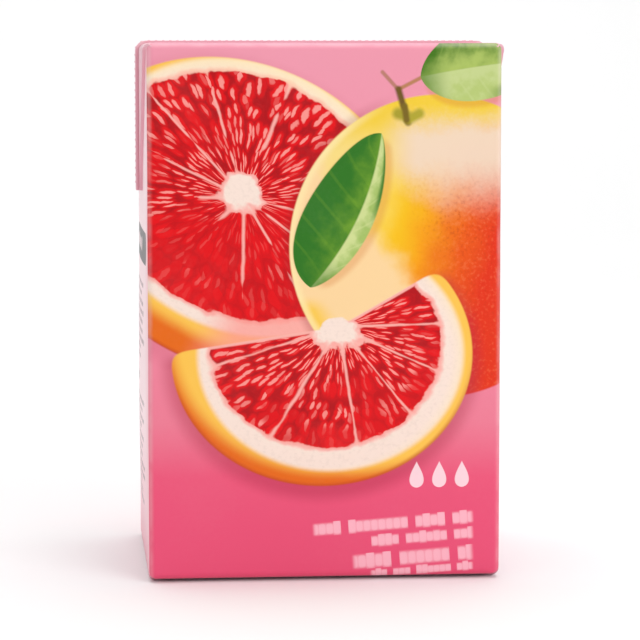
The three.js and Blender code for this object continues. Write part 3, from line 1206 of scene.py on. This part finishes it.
@geometry_tree("width", "thickness", "round", "raw_y", "raw_z")
def sealed_fin(graph, given):
    """A flat strip swept along a path. Its raw edges show bare board."""
    route = graph.out("GeometryNodeMeshToCurve", {0: given["Geometry"]})
    sides = {"Width": given["Thickness"], "Height": given["Width"]}
    section = graph.out("GeometryNodeCurvePrimitiveQuadrilateral", sides)
    rounding = {"Curve": section, "Radius": given["Round"], "Count": 3}
    section = graph.out("GeometryNodeFilletCurve", rounding, mode="POLY")
    sweep = {"Curve": route, "Profile Curve": section, "Fill Caps": True}
    strip = coated(graph, graph.out("GeometryNodeCurveToMesh", sweep), "blush_board")
    _, y, z = graph.split(graph.out("GeometryNodeInputPosition"))
    raw = y.above(given["Raw Y"]).most(given["Raw Z"] - z)
    return {"Geometry": coated(graph, strip, "cut_edge", Selection=raw.above(0))}


@geometry_tree("pitch", "long", "broad", "proud", "row_gap")
def pressed_pips(graph, given):
    """Two rows of flat pips that the sealing jaws pressed into the fin."""
    middle = stations(graph, given)
    along = {"Vector": graph.out("GeometryNodeInputTangent")}
    turn = graph.out("FunctionNodeAlignRotationToVector", along, axis="X", pivot_axis="Y")
    pip = graph.out("GeometryNodeMeshUVSphere", {"Segments": 8, "Rings": 5, "Radius": 1.0})
    scale = graph.join(given["Long"], given["Broad"], given["Proud"])
    shape = {"Instance": pip, "Rotation": turn, "Scale": scale}
    rows = graph.node("GeometryNodeJoinGeometry")
    for way in (-1, 1):
        shift = graph.join(0, given["Row Gap"] * way, 0)
        row = graph.out("GeometryNodeTransform", {"Geometry": middle, "Translation": shift})
        graph.feed(rows.inputs[0], graph.out("GeometryNodeInstanceOnPoints", {"Points": row, **shape}))
    real = graph.out("GeometryNodeRealizeInstances", {0: rows.outputs[0]})
    return {"Geometry": coated(graph, real, "blush_board")}


@geometry_tree("pitch", "long", "broad", "proud")
def tear_slits(graph, given):
    """A row of short slits where the pack is torn open."""
    slit = graph.out("GeometryNodeMeshUVSphere", {"Segments": 8, "Rings": 4, "Radius": 1.0})
    shape = {"Instance": slit, "Scale": graph.join(given["Broad"], given["Long"], given["Proud"])}
    slits = graph.out("GeometryNodeInstanceOnPoints", {"Points": stations(graph, given), **shape})
    real = graph.out("GeometryNodeRealizeInstances", {0: slits})
    # The slits are low bumps; the dark inside of each is painted shade in their material.
    return {"Geometry": coated(graph, real, "slit_shade")}


# Floor, lights and camera


def floor_paper(graph, point):
    """Pale paper, a little uneven."""
    tone = graph.mix(graph.noise(point, 3), (0.90, 0.90, 0.90), (0.94, 0.94, 0.94))
    return {"Base Color": tone, "Roughness": 0.8, "Specular IOR Level": 0.1}


def sweep_floor():
    """A pale floor that curves up into a wall behind the pack."""
    half, front, back, rise, height = 2.0, -2.5, 0.8, 0.5, 2.2
    curve = [(front, 0.0), (back, 0.0)]
    for angle in np.radians(np.linspace(10, 90, 9)):
        curve.append((back + rise * math.sin(angle), rise - rise * math.cos(angle)))
    curve.append((back + rise, height))
    mesh = bpy.data.meshes.new("floor")
    points = [(x, y, z) for y, z in curve for x in (-half, half)]
    mesh.from_pydata(points, [], [(2 * i, 2 * i + 1, 2 * i + 3, 2 * i + 2) for i in range(len(curve) - 1)])
    mesh.shade_smooth()
    mesh.materials.append(new_material("floor_paper", floor_paper))
    return new_object("floor", mesh)


def soft_light(name, place, target, size, power):
    """A square light that looks at a target."""
    light = bpy.data.lights.new(name, "AREA")
    light.size = size
    light.energy = power
    lamp = new_object(name, light)
    lamp.location = place
    lamp.rotation_euler = (Vector(target) - Vector(place)).to_track_quat("-Z", "Y").to_euler()


def plain_surroundings(strength):
    """Even white light from all round."""
    world = bpy.data.worlds.new("plain surroundings")
    world.use_nodes = True
    background = world.node_tree.nodes["Background"]
    background.inputs["Strength"].default_value = strength
    background.inputs["Color"].default_value = (1, 1, 1, 1)
    return world


def photo_camera(stage):
    """The photograph's viewing angle: a little from the left, at about the height of the pack's top."""
    camera = bpy.data.cameras.new("camera")
    camera.lens = stage.lens
    camera.clip_start = 0.01
    eye = new_object("camera", camera)
    right, back = math.sin(stage.azimuth), math.cos(stage.azimuth)
    eye.location = (stage.distance * right, -stage.distance * back, stage.eye)
    eye.rotation_euler = (math.pi / 2 - stage.pitch, 0, stage.yaw)
    return eye


# Operators


class CARTON_OT_sleeve(bpy.types.Operator):
    """Fold the printed board round the juice: four panels, top, base and the seam up the back"""

    bl_idname = "carton.sleeve"
    bl_label = "Sleeve"

    def execute(self, context):
        pack = sizes()
        lengths = {name: getattr(pack, name) for name in SLEEVE_SIZES}
        lengths.update(half_width=pack.width / 2, half_depth=pack.depth / 2, base=pack.ear_board)
        finish_piece("sleeve", through_nodes(sleeve_mesh(pack), filled_panels, **lengths))
        return {"FINISHED"}


class CARTON_OT_ears(bpy.types.Operator):
    """Fold the ears: two down over the sides and two in under the base"""

    bl_idname = "carton.ears"
    bl_label = "Ears"

    def execute(self, context):
        pack = sizes()
        half = pack.depth / 2
        for level, path, full in (
            ("top", top_ear_path(pack), half - EAR_CLEAR),
            ("base", base_ear_path(pack), half - pack.crease),
        ):
            mesh = bevelled(folded_ear(pack, *path, full), EAR_EDGE)
            mesh.materials.append(material("blush_board"))
            other = turned_round(mesh)
            finish_piece(f"{level}_ear_right", mesh)
            finish_piece(f"{level}_ear_left", other)
        return {"FINISHED"}


class CARTON_OT_fins(bpy.types.Operator):
    """Lay the sealed fins flat across the top and the base"""

    bl_idname = "carton.fins"
    bl_label = "Fins"

    def execute(self, context):
        pack = sizes()
        middle_y = pack.fin_width / 2
        edges = {"round": 0.15 * MM, "raw_y": pack.fin_width - 0.05 * MM}
        ear_tip = pack.height - pack.depth / 2 + 0.02 * MM
        top = {"width": pack.fin_width, "thickness": pack.fin_board, "raw_z": ear_tip}
        over = path_mesh(fin_path(pack), middle_y)
        finish_piece("top_fin", through_nodes(over, sealed_fin, **edges, **top))
        reach = pack.width / 2 - pack.fin_width
        level = pack.ear_board - pack.fin_board / 2
        under = path_mesh([(-reach, level)] + line((-reach, level), (reach, level), 30), middle_y)
        base = {"width": pack.fin_board, "thickness": pack.fin_width, "raw_z": -1.0}
        finish_piece("base_fin", through_nodes(under, sealed_fin, **edges, **base))
        return {"FINISHED"}


class CARTON_OT_pips(bpy.types.Operator):
    """Press the sealing jaws' pips into the top fin"""

    bl_idname = "carton.pips"
    bl_label = "Seal pips"

    def execute(self, context):
        pack = sizes()
        route = path_mesh(fin_path(pack)[1:-1], pack.fin_width / 2)
        lengths = {"long": 0.55 * MM, "broad": 1.1 * MM, "proud": pack.fin_board / 2 + 0.2 * MM}
        pips = through_nodes(route, pressed_pips, pitch=pack.pip_pitch, row_gap=1.7 * MM, **lengths)
        finish_piece("seal_pips", pips)
        return {"FINISHED"}


class CARTON_OT_tear_line(bpy.types.Operator):
    """Cut the row of slits where the pack is torn open"""

    bl_idname = "carton.tear_line"
    bl_label = "Tear line"

    def execute(self, context):
        pack = sizes()
        from_side, from_edge, from_fin = 11 * MM, 5 * MM, 1.5 * MM
        front = (-pack.depth / 2 + from_edge, -from_fin)
        back = (pack.fin_width + from_fin, pack.depth / 2 - from_edge)
        route = bpy.data.meshes.new("path")
        points = [(pack.width / 2 - from_side, y, pack.height) for y in (*front, *back)]
        route.from_pydata(points, [(0, 1), (2, 3)], [])
        lengths = {"long": 0.8 * MM, "broad": 0.22 * MM, "proud": 0.08 * MM}
        finish_piece("tear_slits", through_nodes(route, tear_slits, pitch=pack.slit_pitch, **lengths))
        return {"FINISHED"}


class CARTON_OT_stage(bpy.types.Operator):
    """Set the pale floor, the soft studio light and the camera"""

    bl_idname = "carton.stage"
    bl_label = "Stage"

    def execute(self, context):
        stage = context.scene.carton_stage
        pack_middle = (0, 0, sizes().height / 2)
        sweep_floor()
        for name, place, target, size, power in (
            ("key", (0.55, -0.95, 0.65), pack_middle, 0.7, stage.key),
            ("fill", (-0.75, -0.80, 0.40), pack_middle, 0.7, stage.fill),
            ("top", (0.05, 0.05, 1.10), pack_middle, 0.9, stage.top),
            ("backdrop", (0, 0.45, 1.25), (0, 1.3, 0.2), 1.4, stage.backdrop),
        ):
            soft_light(name, place, target, size, power)
        context.scene.world = plain_surroundings(stage.sky)
        context.scene.view_settings.view_transform = "Standard"
        context.scene.camera = photo_camera(stage)
        return {"FINISHED"}


class CARTON_PT_panel(bpy.types.Panel):
    """The steps that make the carton, and its sizes and inks"""

    bl_idname = "CARTON_PT_panel"
    bl_label = "Juice carton"
    bl_space_type = "VIEW_3D"
    bl_region_type = "UI"
    bl_category = "Juice carton"

    def draw(self, context):
        for step in STEPS:
            self.layout.operator(step.bl_idname)
        for group_name, group in GROUPS.items():
            box = self.layout.box()
            for name in group.__annotations__:
                box.prop(getattr(context.scene, group_name), name)


STEPS = (
    CARTON_OT_sleeve,
    CARTON_OT_ears,
    CARTON_OT_fins,
    CARTON_OT_pips,
    CARTON_OT_tear_line,
    CARTON_OT_stage,
)
GROUPS = {"carton_sizes": CartonSizes, "carton_inks": CartonInks, "carton_stage": CartonStage}


def register():
    for group_name, group in GROUPS.items():
        bpy.utils.register_class(group)
        setattr(bpy.types.Scene, group_name, PointerProperty(type=group))
    for cls in (*STEPS, CARTON_PT_panel):
        bpy.utils.register_class(cls)


def unregister():
    for cls in (CARTON_PT_panel, *reversed(STEPS)):
        bpy.utils.unregister_class(cls)
    for group_name, group in reversed(GROUPS.items()):
        delattr(bpy.types.Scene, group_name)
        bpy.utils.unregister_class(group)


def main():
    register()
    bpy.ops.carton.sleeve()
    bpy.ops.carton.ears()
    bpy.ops.carton.fins()
    bpy.ops.carton.pips()
    bpy.ops.carton.tear_line()
    bpy.ops.carton.stage()


if __name__ == "__main__":
    main()
